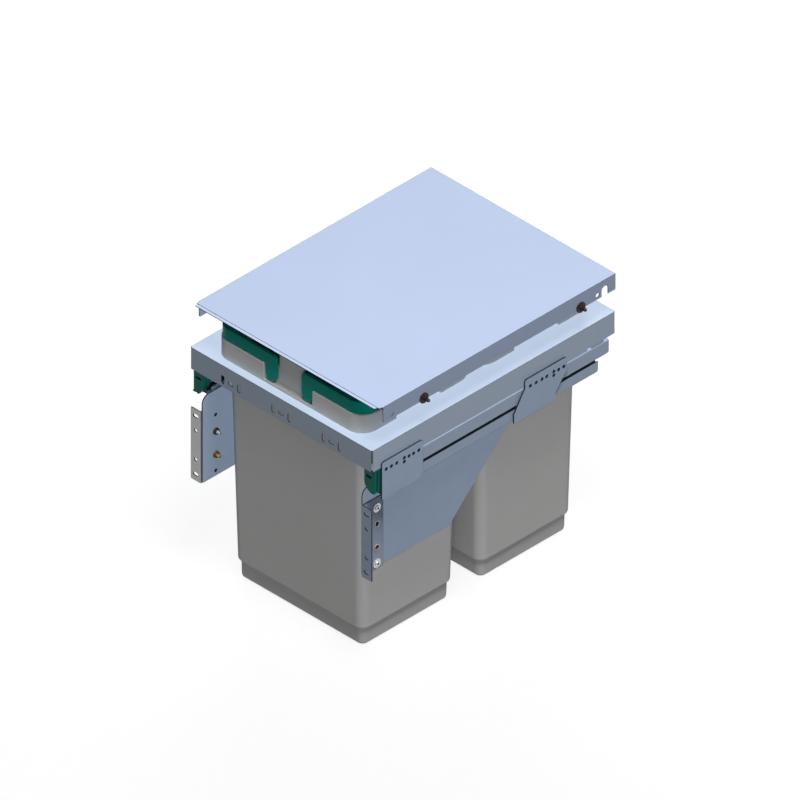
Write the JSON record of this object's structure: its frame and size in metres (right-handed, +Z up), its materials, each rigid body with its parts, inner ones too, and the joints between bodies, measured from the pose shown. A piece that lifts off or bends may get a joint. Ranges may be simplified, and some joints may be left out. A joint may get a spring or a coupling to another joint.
{
  "type": "pull out bin frame",
  "caption": "Pull-out waste bin frame for a kitchen cabinet: a steel frame on ball runners with lift-out bins, bail handles, door brackets, mounting plates and a fixed lid.",
  "frame": {"origin": "on the cabinet's centre plane, in the plane of the frame's front skirt, level with the fixing holes of the mounting plates", "axes": "+X to the right seen from the front, +Y to the rear of the cabinet, +Z up; the pull-out opens along -Y"},
  "size_m": [0.392, 0.484, 0.4533],
  "materials": {
    "plate_steel": "zinc plated, satin",
    "rail_steel": "cold rolled, zinc plated, satin",
    "polished_steel": "bright zinc plated",
    "frame_enamel": "pale blue-grey powder coat, satin",
    "lid_enamel": "pale blue powder coat, satin",
    "bin_plastic": "moulded polypropylene, fine grain",
    "green_plastic": "moulded polypropylene, satin",
    "black_plastic": "moulded acetal, satin",
    "bush_plastic": "moulded nylon, satin",
    "buffer_rubber": "black, matt",
    "screw_steel": "black oxide",
    "brass": "turned, satin"
  },
  "bodies": {
    "cabinet_side": {"front_mounting_plate_left": "plate_steel", "front_mounting_plate_right": "plate_steel", "rear_mounting_plate_left": "plate_steel", "rear_mounting_plate_right": "plate_steel", "mounting_plate_rivets": "polished_steel", "cabinet_rail_left": "rail_steel", "cabinet_rail_right": "rail_steel", "closing_buffers": "buffer_rubber", "lid_panel": "lid_enamel", "lid_bushes": "bush_plastic", "lid_screws": "screw_steel"},
    "pullout": {"drawer_rail_left": "rail_steel", "drawer_rail_right": "rail_steel", "top_frame": "frame_enamel", "rear_seat_left": "plate_steel", "rear_seat_right": "plate_steel", "front_coupling_left": "green_plastic", "front_coupling_right": "green_plastic", "lever_pins": "polished_steel", "side_plate_left": "plate_steel", "side_plate_right": "plate_steel", "side_plate_rivets": "polished_steel", "front_bracket_left": "plate_steel", "front_bracket_right": "plate_steel", "bracket_screws": "polished_steel", "bracket_washers": "polished_steel", "upper_adjusting_studs": "polished_steel", "lower_adjusting_studs": "brass"},
    "left_lower_cage": {"lower_ball_cage_left": "black_plastic", "lower_balls_left": "polished_steel"},
    "left_middle_rail": {"middle_rail_left": "rail_steel"},
    "left_upper_cage": {"upper_ball_cage_left": "black_plastic", "upper_balls_left": "polished_steel"},
    "left_release_lever": {"release_lever_left": "green_plastic"},
    "right_lower_cage": {"lower_ball_cage_right": "black_plastic", "lower_balls_right": "polished_steel"},
    "right_middle_rail": {"middle_rail_right": "rail_steel"},
    "right_upper_cage": {"upper_ball_cage_right": "black_plastic", "upper_balls_right": "polished_steel"},
    "right_release_lever": {"release_lever_right": "green_plastic"},
    "front_bin": {"front_bin": "bin_plastic"},
    "front_left_handle": {"front_bin_handle_left": "green_plastic"},
    "front_right_handle": {"front_bin_handle_right": "green_plastic"},
    "rear_bin": {"rear_bin": "bin_plastic"},
    "rear_left_handle": {"rear_bin_handle_left": "green_plastic"},
    "rear_right_handle": {"rear_bin_handle_right": "green_plastic"}
  },
  "joints": [
    {"name": "pullout_slide", "type": "slide", "parent": "cabinet_side", "child": "pullout", "axis": [0, -1, 0], "range_m": [0, 0.47]},
    {"name": "left_lower_cage_slide", "type": "slide", "parent": "cabinet_side", "child": "left_lower_cage", "axis": [0, -1, 0], "range_m": [0, 0.1185]},
    {"name": "left_middle_rail_slide", "type": "slide", "parent": "cabinet_side", "child": "left_middle_rail", "axis": [0, -1, 0], "range_m": [0, 0.236]},
    {"name": "left_upper_cage_slide", "type": "slide", "parent": "cabinet_side", "child": "left_upper_cage", "axis": [0, -1, 0], "range_m": [0, 0.3535]},
    {"name": "right_lower_cage_slide", "type": "slide", "parent": "cabinet_side", "child": "right_lower_cage", "axis": [0, -1, 0], "range_m": [0, 0.1185]},
    {"name": "right_middle_rail_slide", "type": "slide", "parent": "cabinet_side", "child": "right_middle_rail", "axis": [0, -1, 0], "range_m": [0, 0.236]},
    {"name": "right_upper_cage_slide", "type": "slide", "parent": "cabinet_side", "child": "right_upper_cage", "axis": [0, -1, 0], "range_m": [0, 0.3535]},
    {"name": "left_lever_hinge", "type": "hinge", "parent": "pullout", "child": "left_release_lever", "pos_m": [-0.1771, 0.008, -0.0165], "axis": [0, 0, -1], "range_deg": [0, 12], "stiffness_Nm_per_rad": 0.25},
    {"name": "right_lever_hinge", "type": "hinge", "parent": "pullout", "child": "right_release_lever", "pos_m": [0.1771, 0.008, -0.0165], "axis": [0, 0, 1], "range_deg": [0, 12], "stiffness_Nm_per_rad": 0.25},
    {"name": "front_bin_lift", "type": "slide", "parent": "pullout", "child": "front_bin", "axis": [0, 0, 1], "range_m": [0, 0.005]},
    {"name": "rear_bin_lift", "type": "slide", "parent": "pullout", "child": "rear_bin", "axis": [0, 0, 1], "range_m": [0, 0.005]},
    {"name": "front_left_handle_hinge", "type": "hinge", "parent": "front_bin", "child": "front_left_handle", "pos_m": [-0.036, 0.1253, 0.058], "axis": [0, 1, 0], "range_deg": [0, 6.5]},
    {"name": "front_right_handle_hinge", "type": "hinge", "parent": "front_bin", "child": "front_right_handle", "pos_m": [0.036, 0.1253, 0.058], "axis": [0, -1, 0], "range_deg": [0, 6.5]},
    {"name": "rear_left_handle_hinge", "type": "hinge", "parent": "rear_bin", "child": "rear_left_handle", "pos_m": [-0.036, 0.3598, 0.058], "axis": [0, 1, 0], "range_deg": [0, 6.5]},
    {"name": "rear_right_handle_hinge", "type": "hinge", "parent": "rear_bin", "child": "rear_right_handle", "pos_m": [0.036, 0.3598, 0.058], "axis": [0, -1, 0], "range_deg": [0, 6.5]}
  ],
  "couplings": [
    {"joint": "left_lower_cage_slide", "follows": "pullout_slide", "ratio": 0.25},
    {"joint": "left_middle_rail_slide", "follows": "pullout_slide", "ratio": 0.5},
    {"joint": "left_upper_cage_slide", "follows": "pullout_slide", "ratio": 0.75},
    {"joint": "right_lower_cage_slide", "follows": "pullout_slide", "ratio": 0.25},
    {"joint": "right_middle_rail_slide", "follows": "pullout_slide", "ratio": 0.5},
    {"joint": "right_upper_cage_slide", "follows": "pullout_slide", "ratio": 0.75}
  ]
}
